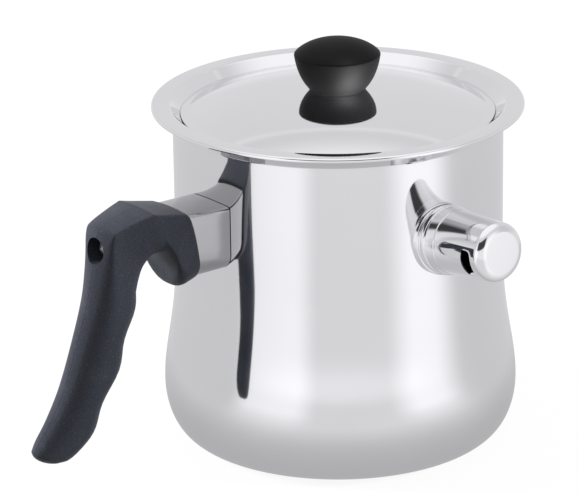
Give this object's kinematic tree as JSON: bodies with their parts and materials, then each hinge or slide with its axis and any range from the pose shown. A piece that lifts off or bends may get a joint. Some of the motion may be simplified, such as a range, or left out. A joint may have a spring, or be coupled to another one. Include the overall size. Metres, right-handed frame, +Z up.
{
  "type": "double-walled simmering pot",
  "caption": "Bellied double-walled steel simmering pot with a filler neck and push-on whistle, a domed lift-off lid with a knob, and a moulded hanging handle behind a steel flame guard.",
  "frame": {"origin": "centre of the flat underside of the base, on the pot's axis", "axes": "+Z up along the pot's axis; the handle points along -X; the filler neck points mostly along -Y"},
  "size_m": [0.2451, 0.1888, 0.1752],
  "materials": {
    "polished_steel": "mirror polished stainless steel sheet",
    "plain_steel": "plain turned or stamped steel",
    "brass": "plain brass",
    "moulding": "fine-grained matte dark moulding",
    "silicone": "matte silicone"
  },
  "bodies": {
    "pot": {"outer_vessel": "polished_steel", "inner_vessel": "polished_steel", "filler_neck": "polished_steel", "neck_collar": "polished_steel", "handle_bracket": "polished_steel", "bracket_nut": "plain_steel", "flame_guard": "polished_steel", "handle_grip": "moulding", "handle_screw": "plain_steel", "screw_washer": "plain_steel"},
    "lid": {"lid_plate": "polished_steel", "lid_knob": "moulding", "knob_insert": "brass", "knob_screw": "plain_steel", "knob_washer": "plain_steel"},
    "seal": {"whistle_seal": "silicone"},
    "whistle": {"whistle_cap": "polished_steel", "whistle_jet_disc": "plain_steel"}
  },
  "joints": [
    {"name": "lid_lift", "type": "slide", "parent": "pot", "child": "lid", "axis": [0, 0, 1], "range_m": [0, 0.08]},
    {"name": "whistle_pull", "type": "slide", "parent": "pot", "child": "seal", "axis": [-0.0347, -0.9937, 0.1063], "range_m": [0, 0.045]},
    {"name": "whistle_twist", "type": "hinge", "parent": "seal", "child": "whistle", "pos_m": [-0.00247, -0.07066, 0.1049], "axis": [-0.0347, -0.9937, 0.1063], "continuous": true}
  ]
}
